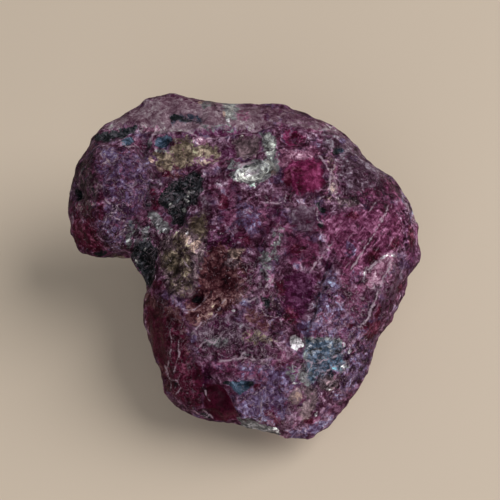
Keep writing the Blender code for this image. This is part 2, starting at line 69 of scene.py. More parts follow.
# Markings of the side that the photograph shows, some of them painted light, shade and glints. Places are
# pixels of the photograph, one x and y after another, sizes are in millimetres and turns in degrees,
# anticlockwise.
# An area is strength, softness of its border and its corners.
AREAS = {
# The first two mauve areas, along the top band, are paler and greyer partly as painted sheen and painted
# light on slopes facing the lamp
"mauve": ((0.9, 1, 104,130, 120,115, 155,96, 175,92, 262,108, 268,124, 255,130, 215,127, 184,134, 138,132,
        138,124), (0.6, 0.6, 262,106, 285,107, 330,124, 348,137, 285,125, 266,126),
    (1, 0.7, 99,150, 108,147, 118,150, 120,160, 112,167, 101,165)),
"ruby": ((0.95, 0.8, 284,167, 290,159, 312,157, 321,163, 325,182, 320,190, 297,195, 283,178),
    (0.6, 0.7, 281,131, 291,127, 309,134, 306,146, 294,149, 284,146),
    (0.6, 0.4, 95,192, 104,191, 105,221, 98,221)),
"magenta": ((0.5, 0.9, 338,276, 362,274, 374,298, 366,316, 345,312),
    (0.85, 0.9, 322,214, 345,214, 385,202, 400,208, 405,222, 404,245, 366,270, 350,276, 340,270, 320,225),
    (0.6, 0.7, 286,236, 300,234, 318,240, 322,256, 312,268, 292,266, 284,252),
    (0.5, 0.9, 196,356, 262,364, 262,378, 204,372), (0.7, 0.6, 222,210, 235,210, 233,230, 224,228),
    (0.8, 0.8, 380,176, 396,182, 402,200, 386,202)),
"lavender": ((0.6, 0.7, 362,322, 380,318, 374,340, 360,344), (0.6, 0.8, 236,374, 262,378, 262,400, 240,400),
    (0.55, 0.9, 100,146, 135,153, 148,160, 150,175, 146,205, 128,222, 128,240, 120,252, 108,250, 98,225,
        108,200, 97,168),
    (0.5, 0.9, 318,285, 328,264, 338,272, 346,312, 340,342, 326,340, 314,332, 312,316),
    (0.85, 0.9, 238,402, 262,386, 284,384, 288,400, 284,418, 270,424, 238,414),
    (0.75, 0.9, 262,368, 284,366, 300,372, 300,386, 284,392, 266,386),
    (0.6, 0.9, 345,350, 368,338, 376,345, 368,372, 352,392, 338,402, 330,396, 340,380),
    (0.55, 0.7, 236,206, 250,204, 262,212, 262,226, 252,238, 236,220),
    (0.35, 0.7, 160,288, 176,286, 184,300, 182,312, 160,300),
    (0.7, 0.6, 284,430, 312,426, 332,413, 336,420, 318,434, 294,440),
    (0.6, 0.6, 236,362, 262,366, 258,376, 240,374)),
"dusk": ((0.8, 0.9, 322,132, 345,136, 385,166, 404,195, 398,202, 370,192, 340,196, 340,170, 334,152,
        322,146), (0.85, 0.5, 290,206, 315,205, 316,228, 305,233, 294,230, 288,220),
    (0.75, 0.9, 190,330, 206,318, 232,316, 248,326, 246,344, 228,352, 204,350, 190,344),
    (0.55, 0.9, 70,180, 76,170, 84,200, 82,222, 72,222, 68,205),
    (0.6, 0.7, 398,270, 404,268, 400,290, 372,332, 366,330), (0.7, 0.6, 195,196, 212,196, 211,216, 198,217),
    (0.6, 0.8, 118,216, 142,216, 140,248, 122,246),
    (0.7, 0.8, 132,146, 152,140, 156,160, 178,166, 178,182, 158,190, 158,214, 146,212, 148,176, 134,158)),
"plum": ((1, 0.6, 284,276, 300,270, 316,276, 314,292, 301,318, 291,322, 284,318, 280,300),
    # This plum strip under the band's lip is painted shadow
    (0.8, 0.5, 194,130, 247,130, 246,133, 220,137, 210,134, 194,136),
    (0.8, 0.5, 222,151, 230,147, 237,149, 235,158, 222,158),
    (0.6, 0.7, 404,218, 414,224, 420,245, 418,262, 410,270, 404,262),
    (0.7, 0.7, 206,232, 222,232, 236,238, 232,248, 218,250, 216,268, 202,266, 200,248),
    (0.6, 0.7, 262,196, 276,198, 284,214, 286,232, 264,212),
    (0.8, 0.5, 208,322, 216,319, 223,323, 232,322, 230,329, 210,329),
    (0.6, 0.7, 330,252, 340,270, 334,264, 324,280, 318,276, 322,262),
    (0.4, 0.7, 280,368, 296,364, 303,374, 296,386, 284,384),
    (0.8, 0.6, 197,366, 210,366, 211,380, 204,390, 198,384), (0.7, 0.6, 324,291, 336,290, 335,305, 325,306),
    (0.6, 0.7, 264,404, 280,402, 284,424, 266,420)),
"rust": ((0.95, 0.8, 200,262, 208,250, 222,244, 240,256, 250,270, 250,290, 240,302, 196,326, 184,320,
        186,305, 196,290), (0.6, 0.7, 160,164, 176,166, 186,172, 182,180, 166,178),
    (0.9, 0.9, 144,290, 180,310, 190,360, 186,402, 166,388, 150,345),
    (0.6, 0.7, 244,306, 266,312, 276,330, 262,332, 246,322)),
"crimson": ((0.55, 0.9, 142,305, 164,305, 176,345, 178,392, 160,372, 148,340),
    (1, 0.3, 207,384, 222,387, 238,414, 236,420, 215,421, 202,402),
    (0.85, 0.9, 160,316, 184,322, 194,392, 186,406, 170,394, 162,362),
    (0.9, 0.5, 191,297, 199,294, 205,297, 203,303, 193,304),
    (0.75, 0.6, 188,364, 200,362, 204,378, 202,410, 190,408, 184,392),
    (0.9, 0.4, 146,306, 156,307, 156,330, 150,330, 146,322),
    (0.95, 0.4, 152,337, 160,334, 168,358, 164,370, 151,348), (0.6, 0.8, 70,202, 94,198, 96,224, 72,226),
    (0.8, 0.5, 70,224, 84,222, 95,226, 104,250, 98,254, 85,251, 74,243),
    (0.5, 0.3, 96,191, 104,192, 104,221, 98,221, 94,206), (0.4, 0.6, 286,133, 300,132, 304,142, 288,144),
    (0.35, 0.9, 284,172, 297,172, 300,188, 292,192, 284,186),
    (0.8, 0.5, 217,195, 229,195, 228,210, 218,210), (0.7, 0.5, 150,281, 165,279, 164,290, 152,291),
    (0.7, 0.6, 274,281, 285,280, 286,296, 276,296), (0.7, 0.6, 262,412, 272,410, 290,424, 276,426)),
"brown": ((0.8, 0.9, 160,238, 176,232, 206,206, 208,240, 195,298, 170,298, 160,272),
    (0.9, 0.5, 230,144, 236,139, 258,135, 262,139, 256,157, 244,160, 237,156, 236,149),
    (0.5, 0.7, 84,160, 96,168, 103,184, 92,216, 82,218, 76,205, 76,178),
    (0.4, 0.7, 264,296, 276,292, 284,302, 284,314, 272,314, 264,306),
    (0.8, 0.5, 300,387, 310,384, 318,392, 316,408, 308,420, 298,421, 296,410, 304,402),
    (0.9, 0.3, 288,397, 297,388, 302,391, 300,404, 293,405),
    (0.9, 0.4, 317,381, 322,375, 331,373, 337,378, 337,386, 330,391, 321,390),
    (0.7, 0.6, 336,197, 360,196, 360,206, 338,208)),
"olive": ((0.9, 0.6, 154,152, 172,151, 176,160, 170,169, 158,168),
    (0.85, 0.7, 169,148, 176,140, 190,138, 196,148, 195,164, 182,168, 172,166),
    (0.85, 0.6, 195,147, 208,144, 220,147, 220,157, 196,157),
    (0.85, 0.6, 190,217, 206,216, 207,234, 198,238, 188,232),
    (1, 0.7, 161,252, 178,249, 181,262, 178,273, 164,272),
    (0.6, 0.9, 172,234, 192,228, 193,292, 180,297, 168,288, 176,262),
    (0.7, 0.6, 243,332, 255,329, 276,341, 266,345, 250,344, 241,339)),
"grey": ((0.35, 0.8, 198,120, 240,122, 240,134, 200,134),
    (0.9, 0.4, 228,176, 247,161, 279,157, 279,172, 262,184, 252,186, 233,181),
    (0.95, 0.4, 149,212, 158,212, 171,230, 168,234, 160,233, 148,218),
    (0.9, 0.4, 141,228, 149,227, 150,240, 142,241),
    (0.85, 0.5, 261,134, 270,132, 277,138, 276,160, 266,160),
    (0.55, 0.9, 275,224, 284,228, 280,258, 272,266, 271,281, 262,282, 258,262, 268,254),
    (0.95, 0.5, 303,337, 338,337, 344,346, 340,354, 314,363, 304,360),
    (0.8, 0.7, 299,364, 318,360, 320,374, 310,386, 298,380),
    (0.8, 0.6, 220,102, 238,104, 240,112, 236,121, 226,121),
    (0.95, 0.3, 235,417, 258,421, 282,433, 277,438, 244,428)),
"sand": ((0.45, 0.3, 288,397, 297,388, 303,398, 293,405), (0.4, 0.7, 264,158, 280,158, 280,176, 266,180),
    (0.9, 0.3, 227,250, 247,248, 236,261, 227,255), (0.95, 0.3, 189,245, 201,238, 202,240, 194,255),
    (0.45, 0.7, 323,152, 332,152, 338,165, 335,195, 330,204, 323,204, 329,175),
    (0.6, 0.6, 195,158, 220,157, 219,165, 197,166)),
"teal": ((0.35, 0.8, 120,216, 142,216, 140,246, 122,246),
    (1, 0.4, 158,137, 170,136, 173,140, 165,149, 154,146), (0.9, 0.4, 224,381, 250,380, 254,384, 240,396),
    (0.95, 0.3, 317,371, 321,363, 342,356, 344,360, 326,373),
    (0.9, 0.3, 121,139, 133,137, 134,143, 128,147, 121,143), (0.5, 0.4, 95,141, 98,135, 106,132, 116,141),
    (0.6, 0.8, 303,337, 338,337, 347,346, 347,372, 310,388, 303,372),
    (0.5, 0.6, 93,140, 99,142, 93,165, 86,166), (0.5, 0.8, 166,112, 200,112, 206,120, 202,126, 170,126)),
"dark": ((0.9, 0.4, 92,140, 98,134, 112,132, 118,138, 108,143), (0.35, 0.9, 74,160, 94,158, 98,196, 78,202),
    (0.35, 0.9, 140,176, 162,174, 160,214, 142,216),
    (0.95, 0.5, 172,181, 186,179, 194,172, 202,174, 203,190, 198,202, 188,206, 183,214, 186,226, 172,226,
        170,214, 161,206, 158,196),
    (1, 0.5, 131,252, 136,240, 150,240, 159,250, 151,287, 144,285, 140,272, 132,263),
    (1, 0.4, 109,137, 113,131, 137,125, 136,131, 123,139), (1, 0.4, 170,116, 174,114, 198,122, 172,121),
    (1, 0.3, 76,190, 82,190, 83,199, 78,201), (0.8, 0.5, 261,298, 270,296, 274,304, 266,310)),
"quartz_and_painted_glints": ((0.6, 0.7, 232,176, 248,164, 276,160, 275,170, 262,180, 248,184, 238,182),
    (0.5, 0.6, 223,104, 237,104, 234,120, 226,120),
    (0.5, 0.6, 261,134, 270,132, 277,138, 276,160, 268,162, 262,150)),
# White grains, and painted highlights such as the bright spot on the lower face
"white_grains_and_painted_glints": ((1, 0.2, 290,337, 294,334, 303,339, 303,346, 296,350, 291,348),
    (0.5, 0.5, 244,172, 250,167, 258,167, 258,173, 250,177)),
"pink": ((0.9, 0.6, 280,151, 310,149, 318,152, 310,158, 283,161),
    (0.9, 0.6, 363,271, 370,272, 382,256, 390,253, 396,259, 382,285, 364,290),
    (0.65, 0.6, 195,138, 212,137, 212,145, 196,145), (0.5, 0.9, 238,270, 256,270, 256,294, 240,294)),
"network": ((0.35, 0.6, 134,240, 158,242, 154,270, 146,284, 134,262),
    (0.4, 0.6, 160,186, 200,172, 202,196, 184,226, 172,226, 160,202),
    (0.65, 0.8, 100,146, 148,158, 152,175, 148,205, 130,222, 130,240, 120,252, 104,250, 98,225, 106,200,
        97,168), (1, 0.6, 188,330, 206,316, 250,320, 280,340, 300,360, 270,372, 226,366, 196,356),
    (0.4, 0.8, 160,300, 186,310, 196,360, 190,402, 170,392, 158,350),
    (0.9, 0.6, 320,265, 372,300, 362,372, 340,402, 300,400, 300,362, 340,350, 314,330),
    (1, 0.7, 360,280, 366,264, 400,250, 398,270, 384,296, 366,292),
    (0.8, 0.9, 240,390, 290,380, 300,430, 238,416),
    (0.25, 0.9, 322,135, 350,140, 398,182, 404,200, 340,200, 322,205, 328,170),
    (0.9, 0.7, 262,192, 320,200, 318,208, 284,210, 260,206),
    (0.8, 0.9, 244,262, 274,262, 276,290, 262,318, 232,312),
    (0.7, 0.9, 150,215, 170,215, 166,262, 148,262, 134,236)),
"grain": ((0.6, 0.8, 160,232, 205,200, 250,250, 252,295, 212,322, 186,312, 165,285),
    (0.9, 0.6, 160,188, 200,172, 200,200, 180,224, 166,214),
    (0.4, 0.6, 322,146, 345,138, 400,185, 400,202, 340,202, 324,206),
    (0.7, 0.6, 200,170, 262,188, 262,200, 204,200), (0.9, 0.9, 128,240, 150,218, 170,230, 160,275, 146,285),
    (0.8, 0.9, 334,344, 372,334, 368,372, 338,402, 318,380)),
"gloss": ((1, 0.5, 207,384, 222,387, 238,414, 236,420, 215,421, 202,402),
    (0.75, 0.6, 104,130, 120,115, 155,96, 175,92, 222,102, 285,106, 330,124, 310,129, 262,130, 215,138,
        190,131, 125,125), (0.5, 0.6, 290,162, 322,162, 326,185, 304,198, 290,188),
    (0.3, 0.7, 285,276, 314,276, 308,312, 292,328, 284,310),
    (0.9, 0.5, 144,302, 162,312, 168,350, 162,370, 150,345),
    (0.6, 0.7, 226,148, 245,137, 262,138, 250,156, 228,157), (0.7, 0.5, 290,206, 315,205, 316,228, 294,230),
    (0.6, 0.6, 99,150, 118,150, 120,162, 101,165), (0.6, 0.6, 190,217, 206,216, 207,234, 190,236),
    (0.7, 0.6, 288,390, 302,388, 316,392, 310,416, 298,420)),
"stripes": ((1, 0.6, 322,212, 345,212, 385,198, 405,215, 404,250, 378,270, 350,280, 335,262),
    (0.5, 0.9, 316,300, 330,262, 350,280, 396,268, 400,290, 372,334, 350,390, 340,340, 316,332)),
# Darker tone, partly painted shade in hollows and on sides turned from the light
"darker_tone_and_painted_shade": ((0.8, 0.8, 298,384, 320,384, 320,402, 304,402),
    (0.6, 0.8, 244,220, 258,224, 266,240, 252,250, 238,238),
    (1, 0.6, 190,297, 199,293, 206,297, 204,304, 193,305),
    (0.6, 0.9, 204,264, 226,250, 248,258, 252,292, 206,300),
    (0.45, 1.2, 98,150, 130,150, 150,165, 150,205, 128,222, 126,250, 106,250, 98,225),
    (1, 1, 116,174, 152,174, 156,214, 138,218, 118,216),
    (0.7, 0.9, 340,178, 400,180, 402,200, 380,212, 344,196), (1, 0.8, 178,216, 212,214, 212,240, 182,240),
    (1, 0.8, 160,238, 180,238, 199,262, 198,292, 170,297, 160,270),
    (0.6, 0.8, 200,196, 216,196, 216,240, 202,240), (1, 0.7, 358,296, 394,294, 386,320, 362,324),
    (0.9, 0.9, 196,340, 262,342, 262,360, 196,360), (0.9, 0.7, 340,358, 366,356, 362,386, 342,384),
    (0.8, 0.8, 178,376, 206,376, 204,412, 186,408), (0.6, 0.9, 380,200, 398,206, 398,238, 382,236),
    (0.9, 0.9, 100,218, 140,218, 132,252, 106,250),
    (0.5, 0.9, 148,300, 166,300, 184,330, 188,372, 184,402, 166,392, 152,350),
    (1, 0.6, 188,384, 212,380, 226,398, 230,416, 208,417, 190,408),
    (0.4, 0.8, 196,318, 236,318, 244,344, 210,350, 192,342),
    (0.35, 1.2, 278,166, 292,162, 298,176, 298,194, 276,184),
    (0.7, 0.7, 404,225, 410,225, 420,250, 412,268, 404,262), (0.8, 0.7, 180,276, 200,280, 198,300, 178,298),
    (0.5, 0.7, 366,338, 376,336, 376,350, 366,362), (0.5, 0.9, 280,112, 310,118, 312,128, 270,124),
    (0.6, 0.7, 262,186, 280,186, 290,196, 276,200, 262,196), (1, 0.8, 74,158, 98,158, 100,196, 76,198),
    (0.8, 0.4, 317,381, 322,375, 331,373, 337,378, 337,386, 330,391, 321,390),
    (0.5, 0.6, 172,146, 180,145, 180,155, 172,155)),
# Lighter tone, partly painted light and highlights on the top band, ridges and edges that face the light
"lighter_tone_and_painted_light": ((0.8, 0.6, 280,158, 292,158, 288,170, 280,172), (0.8, 0.7, 182,240, 200,236, 200,258, 184,258),
    (0.8, 0.7, 142,178, 160,178, 160,196, 144,196), (1, 0.3, 288,397, 297,388, 302,391, 300,404, 293,405),
    (0.7, 1, 286,386, 318,384, 336,396, 330,424, 288,426),
    (0.6, 0.6, 236,418, 262,420, 284,430, 276,440, 246,432),
    (0.8, 0.9, 300,336, 340,336, 346,352, 342,366, 316,384, 302,380),
    (0.35, 0.9, 150,98, 222,102, 222,120, 120,126),
    (1, 0.9, 100,156, 110,122, 196,126, 300,118, 345,137, 330,142, 262,131, 210,146, 190,136, 150,136,
        120,156), (1, 0.6, 261,133, 270,131, 278,138, 271,182, 252,186, 233,181, 229,176, 241,165, 262,157),
    (0.7, 0.9, 176,162, 196,146, 232,146, 244,158, 232,176, 180,176),
    (1, 0.8, 236,184, 282,180, 286,200, 240,202), (1, 0.5, 398,194, 410,200, 417,222, 408,226, 400,214),
    (0.6, 0.8, 238,296, 262,300, 262,318, 240,318), (1, 0.7, 300,316, 320,316, 322,336, 302,337),
    (1, 0.8, 400,194, 412,200, 424,240, 412,262, 402,240), (0.9, 0.8, 318,218, 338,218, 338,282, 318,282),
    (0.7, 0.8, 338,318, 358,318, 358,342, 340,342), (0.7, 0.8, 238,358, 262,358, 262,378, 240,378),
    (0.6, 0.8, 296,276, 316,276, 314,316, 300,318), (0.6, 0.8, 200,182, 236,180, 240,212, 204,206),
    (0.9, 0.7, 256,408, 300,412, 334,410, 332,426, 284,440, 256,424),
    (0.7, 0.8, 300,262, 338,262, 340,284, 300,282), (0.6, 0.7, 182,320, 200,318, 200,340, 184,344),
    (0.6, 0.6, 158,214, 172,220, 172,236, 158,234), (0.7, 0.8, 228,196, 262,200, 264,226, 244,236, 230,222),
    (0.5, 0.7, 364,212, 388,212, 398,226, 384,240, 366,236),
    (0.8, 0.6, 376,262, 384,254, 396,257, 390,275, 378,284), (0.7, 0.7, 238,400, 262,396, 262,416, 242,416),
    (0.6, 0.7, 318,300, 336,296, 338,320, 322,334, 314,322)),
}
# A patch is its place, half width, half height, turn and strength.
PATCHES = {
# Lighter and darker patches: tone, partly painted light and painted shade
"lighter_tone_and_painted_light": ((348,345, 0.8,0.8, 0, 0.6), (110,130, 0.9,0.9, 0, 1), (110,150, 0.9,0.9, 0, 1),
    (200,150, 1.6,0.9, 0, 0.9), (230,110, 0.9,0.7, 0, 0.9), (270,130, 0.9,0.7, 0, 0.9),
    (330,150, 0.9,0.9, 0, 0.4), (288,170, 0.8,0.9, 0, 1), (170,230, 0.9,0.9, 0, 1),
    (300,208, 1.6,0.8, 0, 0.4), (350,250, 0.9,0.9, 0, 0.6), (330,270, 0.9,0.9, 0, 1),
    (370,170, 0.9,0.9, 0, 0.4), (310,320, 0.9,1.6, 0, 1), (310,370, 0.9,0.9, 0, 1),
    (290,350, 0.9,0.8, 0, 0.9), (410,252, 0.9,0.9, 0, 1), (270,250, 0.9,0.9, 0, 0.4),
    (410,210, 0.9,0.9, 0, 0.4)),
"darker_tone_and_painted_shade": ((405,228, 1,0.9, 0, 0.6), (125,246, 0.9,0.8, 0, 0.7), (160,212, 1.6,0.9, 0, 1),
    (168,190, 0.9,0.9, 0, 0.4), (150,230, 0.9,0.9, 0, 0.4), (200,230, 1.6,0.9, 0, 0.9),
    (210,250, 0.9,0.9, 0, 0.9), (370,270, 0.9,0.9, 0, 0.6), (350,390, 0.9,0.9, 0, 0.4),
    (210,410, 0.9,0.9, 0, 1), (280,390, 1.6,0.9, 0, 0.4), (390,210, 0.9,0.9, 0, 0.8),
    (370,350, 0.9,0.9, 0, 0.4)),
"grain": ((410,225, 0.8,2.2, 0, 0.9), (325,300, 1.6,1.8, 0, 0.8), (115,240, 1.8,1, 0, 0.8),
    (150,320, 0.6,1.2, 0, 0.8), (280,310, 1.6,1, 0, 0.7)),
"gloss": ((230,190, 0.9,0.9, 0, 0.8), (250,128, 0.9,0.7, 0, 0.8), (212,158, 1.2,1, 0, 0.6),
    (190,295, 0.9,1.2, 0, 0.5)),
"magenta": ((242,240, 1,0.5, -25, 0.6), (372,196, 1.4,0.7, 0, 0.6), (314,420, 0.7,0.3, 0, 0.8),
    (225,292, 1,1, 0, 0.6)),
"crimson": ((268,170, 0.6,0.8, 0, 0.6), (289,179, 0.4,0.7, 0, 0.9), (297,170, 0.5,0.3, -30, 0.7),
    (300,185, 0.35,0.5, 0, 0.7), (353,216, 0.7,0.35, 8, 0.9), (395,244, 0.4,0.6, -20, 1),
    (374,256, 0.5,0.8, -35, 0.9), (248,242, 0.8,0.4, -40, 0.6), (291,315, 0.7,0.9, 0, 0.8),
    (410,236, 0.3,1.2, 0, 0.8), (400,288, 0.25,0.5, -25, 0.8), (372,330, 0.5,1.1, -35, 0.8),
    (166,173, 0.3,0.4, -30, 0.9), (152,192, 0.4,0.4, 0, 0.7), (297,249, 0.8,0.5, 0, 0.7),
    (308,421, 0.5,0.3, 0, 0.9), (155,205, 0.5,0.5, 0, 0.7), (336,383, 0.2,0.3, 0, 0.8),
    (257,386, 0.4,0.3, 0, 0.7), (350,326, 0.3,0.3, 0, 0.7), (366,326, 0.6,0.4, 40, 0.7),
    (378,312, 0.25,0.8, -20, 0.7)),
"plum": ((345,335, 0.4,1, -20, 0.6), (190,98, 2,0.4, -10, 0.6), (360,200, 1.2,0.3, 8, 0.7),
    (360,344, 0.5,0.6, 0, 0.6)),
"rust": ((178,252, 0.5,0.6, 0, 0.8), (190,272, 0.6,0.5, 0, 0.7), (172,278, 0.4,0.4, 0, 0.7),
    (176,148, 0.4,0.5, 0, 0.6)),
"brown": ((232,262, 0.8,0.9, 0, 0.6), (188,142, 0.5,0.4, 0, 0.6), (334,188, 0.3,0.6, 0, 0.7)),
"grey": ((292,374, 0.7,0.8, 0, 0.5), (133,228, 0.8,0.8, 0, 0.5), (129,240, 0.25,0.8, 0, 0.9),
    (151,144, 0.25,0.45, 0, 0.8), (162,151, 0.8,0.15, 0, 0.7), (207,104, 0.6,0.4, 0, 0.6),
    (234,166, 0.8,0.4, 0, 0.6), (218,342, 1.1,0.5, 0, 0.7), (342,366, 0.7,0.5, 20, 0.7),
    (265,258, 0.6,0.6, 0, 0.6)),
"lavender": ((352,328, 1.2,0.9, 0, 0.5), (350,250, 0.7,0.8, 0, 0.5), (308,328, 0.8,0.8, 0, 0.7),
    (193,339, 0.3,0.35, 0, 0.7), (343,141, 0.3,0.2, 0, 0.8), (354,159, 0.3,0.25, 0, 0.7),
    (403,198, 0.15,0.4, 0, 0.9), (411,214, 0.2,0.4, -30, 0.8), (297,266, 0.3,0.3, 0, 0.8),
    (240,222, 0.3,0.3, 0, 0.9), (246,302, 0.5,0.4, 0, 0.8)),
"sand": ((196,246, 0.3,0.7, -32, 0.9), (151,161, 0.3,0.25, 0, 1), (161,169, 0.4,0.2, -20, 0.8),
    (186,238, 0.4,0.6, 0, 0.6), (224,113, 0.15,0.3, 0, 0.8), (201,102, 0.25,0.15, 0, 0.7)),
"olive": ((120,258, 0.8,0.25, -25, 0.8),),
"teal": ((340,151, 0.4,0.3, 0, 0.7), (175,187, 0.6,0.25, 0, 0.7)),
"dark": ((197,299, 0.35,0.2, 15, 0.7), (233,178, 0.35,0.1, 30, 0.8), (100,253, 0.7,0.2, 0, 0.8),
    (322,209, 0.4,0.3, 0, 0.9), (321,226, 0.3,0.3, 0, 0.8), (318,204, 0.4,0.25, 0, 0.7),
    (247,167, 0.5,0.12, 12, 0.8), (241,176, 0.3,0.2, 0, 0.8), (246,180, 0.5,0.15, 10, 0.7),
    (336,152, 0.3,0.35, 0, 0.8), (318,349, 0.9,0.15, 10, 0.7), (250,384, 0.3,0.3, 0, 0.8),
    (226,382, 0.3,0.15, 0, 0.8), (248,355, 0.5,0.12, 0, 0.7), (176,385, 0.25,0.35, 0, 0.7),
    (205,415, 0.7,0.2, -20, 0.8), (318,336, 0.25,0.2, 0, 0.7)),
# These grey-white specks in the black patch and the valley are painted glints
"quartz_and_painted_glints": ((171,206, 0.28,0.2, 20, 0.9), (189,193, 0.12,0.3, -20, 0.8), (183,210, 0.2,0.22, 0, 0.8),
    (186,200, 0.3,0.12, -40, 0.7), (136,262, 0.2,0.25, 0, 0.7), (145,250, 0.2,0.15, 30, 0.8)),
# Small white marks, mostly painted glints
"white_grains_and_painted_glints": ((372,267, 0.5,0.1, 35, 0.8), (384,258, 0.4,0.1, 25, 0.9), (392,256, 0.3,0.12, -20, 0.9),
    (365,275, 0.1,0.35, 0, 0.8), (388,270, 0.1,0.35, -25, 0.7), (228,120, 0.19,0.19, 0, 1),
    (187,233, 0.15,0.22, 0, 0.8), (172,207, 0.19,0.15, 0, 0.9), (193,192, 0.15,0.22, 0, 0.8),
    (329,388, 0.3,0.09, -20, 0.9), (316,414, 0.11,0.3, -20, 0.8), (276,430, 0.26,0.19, -20, 0.8),
    (295,384, 0.34,0.11, 10, 0.9), (343,366, 0.22,0.15, 0, 0.8), (350,352, 0.15,0.19, -30, 0.8),
    (234,311, 0.22,0.15, 20, 0.8), (244,354, 0.26,0.15, 0, 0.8)),
"pink": ((150,128, 0.9,0.3, 0, 0.55), (283,163, 0.5,0.35, 0, 0.8), (244,116, 0.6,0.45, 0, 0.6)),
}
# A vein is its half width, strength and points.
VEINS = {
# Pale veins. The line along the band's lip and the one down the right rim are painted highlights on edges
"pale": ((0.11, 1, 390,262, 366,321, 360,326), (0.1, 0.9, 364,278, 366,268, 390,254, 397,256),
    (0.08, 0.8, 388,273, 390,264, 394,259),
    (0.07, 1, 374,285, 373,288, 369,288, 368,285, 369,282, 373,282, 374,285), (0.08, 0.8, 352,268, 385,216),
    (0.08, 0.9, 380,219, 385,215, 388,208), (0.07, 0.8, 377,202, 371,209), (0.08, 0.9, 317,300, 309,327),
    (0.08, 0.8, 330,246, 311,270), (0.09, 0.9, 222,361, 243,358, 252,360, 270,359),
    (0.08, 0.9, 240,358, 244,352, 251,352, 253,358), (0.07, 0.8, 262,350, 261,360, 268,367),
    (0.08, 0.8, 225,300, 215,316, 202,322, 193,332), (0.07, 0.8, 206,297, 195,310, 184,309),
    (0.08, 0.8, 198,348, 206,341, 214,343, 220,336), (0.07, 0.8, 171,330, 172,345, 168,366),
    (0.07, 0.8, 179,343, 180,352, 173,373), (0.09, 0.8, 166,368, 168,376, 172,380),
    (0.07, 0.8, 170,388, 172,380, 177,380, 180,387, 177,393), (0.05, 0.7, 205,391, 209,400),
    (0.1, 0.9, 272,281, 259,297, 250,301, 244,299), (0.07, 0.8, 261,310, 266,316, 280,318, 282,324),
    (0.08, 0.7, 262,264, 272,280), (0.08, 0.8, 250,211, 264,219), (0.08, 0.8, 119,140, 128,148, 133,146),
    (0.07, 0.8, 106,200, 112,206, 118,204, 116,212, 108,214, 104,222),
    (0.08, 0.8, 110,216, 127,222, 124,230, 116,237),
    (0.08, 0.8, 152,140, 155,135, 166,133, 174,135, 175,141),
    (0.12, 0.9, 186,129, 200,138, 222,138, 258,130), (0.07, 0.7, 228,160, 250,157, 270,149),
    (0.1, 1, 241,166, 253,162), (0.1, 1, 246,175, 257,170), (0.08, 0.8, 262,203, 284,203, 285,196),
    (0.08, 0.8, 317,207, 318,220, 322,222), (0.09, 0.9, 320,157, 330,172, 329,195, 320,199),
    (0.07, 0.8, 334,164, 332,174, 336,184), (0.08, 0.8, 264,388, 251,397), (0.07, 0.8, 262,398, 261,420),
    (0.07, 0.7, 300,367, 307,360, 316,363), (0.08, 0.9, 321,362, 343,353),
    (0.08, 0.8, 326,374, 332,368, 340,366, 346,370), (0.08, 0.8, 311,364, 306,378),
    (0.07, 0.8, 185,262, 188,266), (0.07, 0.8, 192,260, 196,266), (0.1, 0.9, 402,192, 403,200, 415,221),
    (0.06, 0.8, 193,409, 198,414, 206,417), (0.06, 0.8, 205,411, 212,418)),
"shade": ((0.1, 0.8, 150,134, 168,131, 186,132, 191,130), (0.1, 0.8, 214,103, 220,113),
    (0.12, 0.9, 328,262, 313,314), (0.1, 0.8, 400,195, 412,212),
    (0.08, 0.8, 316,382, 320,375, 331,372, 338,378), (0.07, 0.9, 372,246, 390,220),
    (0.09, 0.9, 194,409, 212,421)),
}
# The fine relief. A dent is its place, half width, half height, turn and depth, negative for
# a swelling. A groove is its half width, depth and points, negative for a ridge. A ledge is
# its height and points, higher at the left of its line.
DENTS = ((254,171, 1.8,1, 15, 0.45), (242,148, 1.5,0.9, 15, 0.2), (306,174, 1.6,1.6, 0, -0.22),
    (303,217, 1.3,1.3, 0, -0.2), (197,299, 0.5,0.4, 25, 0.4), (79,195, 0.35,0.5, 0, 0.25),
    (185,118, 1.3,0.28, -4, 0.25), (120,133, 1.2,0.35, 18, 0.28), (162,141, 0.8,0.55, 12, 0.15),
    (297,397, 0.65,0.7, 0, -0.22), (327,383, 1,0.8, 0, -0.25), (240,386, 1.2,0.7, -10, 0.2),
    (217,401, 1.4,1.9, 34, 0.2), (371,284, 0.22,0.22, 0, 0.14), (266,303, 0.6,0.5, 0, 0.28),
    (237,251, 0.8,0.5, -5, -0.18), (196,247, 0.5,0.9, -32, -0.25), (158,226, 1,0.9, 0, -0.25),
    (148,235, 0.5,0.6, 0, -0.2), (181,209, 0.6,1.5, 5, 0.25), (172,192, 1.1,0.8, 20, 0.2),
    (195,182, 0.6,0.9, -10, 0.2), (146,258, 0.7,1.4, 5, 0.25), (331,364, 1.2,0.4, 40, 0.2),
    (298,300, 1.6,2.3, -10, 0.3), (322,208, 0.4,0.4, 0, 0.2), (218,325, 1.1,0.5, 0, 0.2),
    (294,140, 1.3,0.6, 0, 0.2), (222,206, 0.9,1.6, 8, 0.18), (248,222, 1.1,1.4, 0, -0.2),
    (365,196, 1.6,0.5, 10, 0.15))
GROOVES = ((0.3, -0.1, 390,262, 385,274, 379,288, 375,302, 370,314, 360,329),
    (0.25, -0.08, 224,361, 243,357, 262,361, 298,361), (0.4, 0.2, 328,262, 322,280, 317,298, 313,316),
    (0.25, -0.1, 172,330, 173,345, 170,366), (0.22, -0.09, 179,343, 180,352, 174,370),
    (0.5, -0.14, 276,228, 272,245, 267,262, 268,280), (0.25, -0.08, 225,300, 214,318, 192,336),
    (0.3, 0.1, 340,205, 362,204, 384,193), (0.3, -0.08, 122,160, 119,178, 118,192, 126,210),
    (0.25, -0.08, 98,148, 118,148, 138,148), (0.2, 0.06, 97,190, 94,205, 98,220))
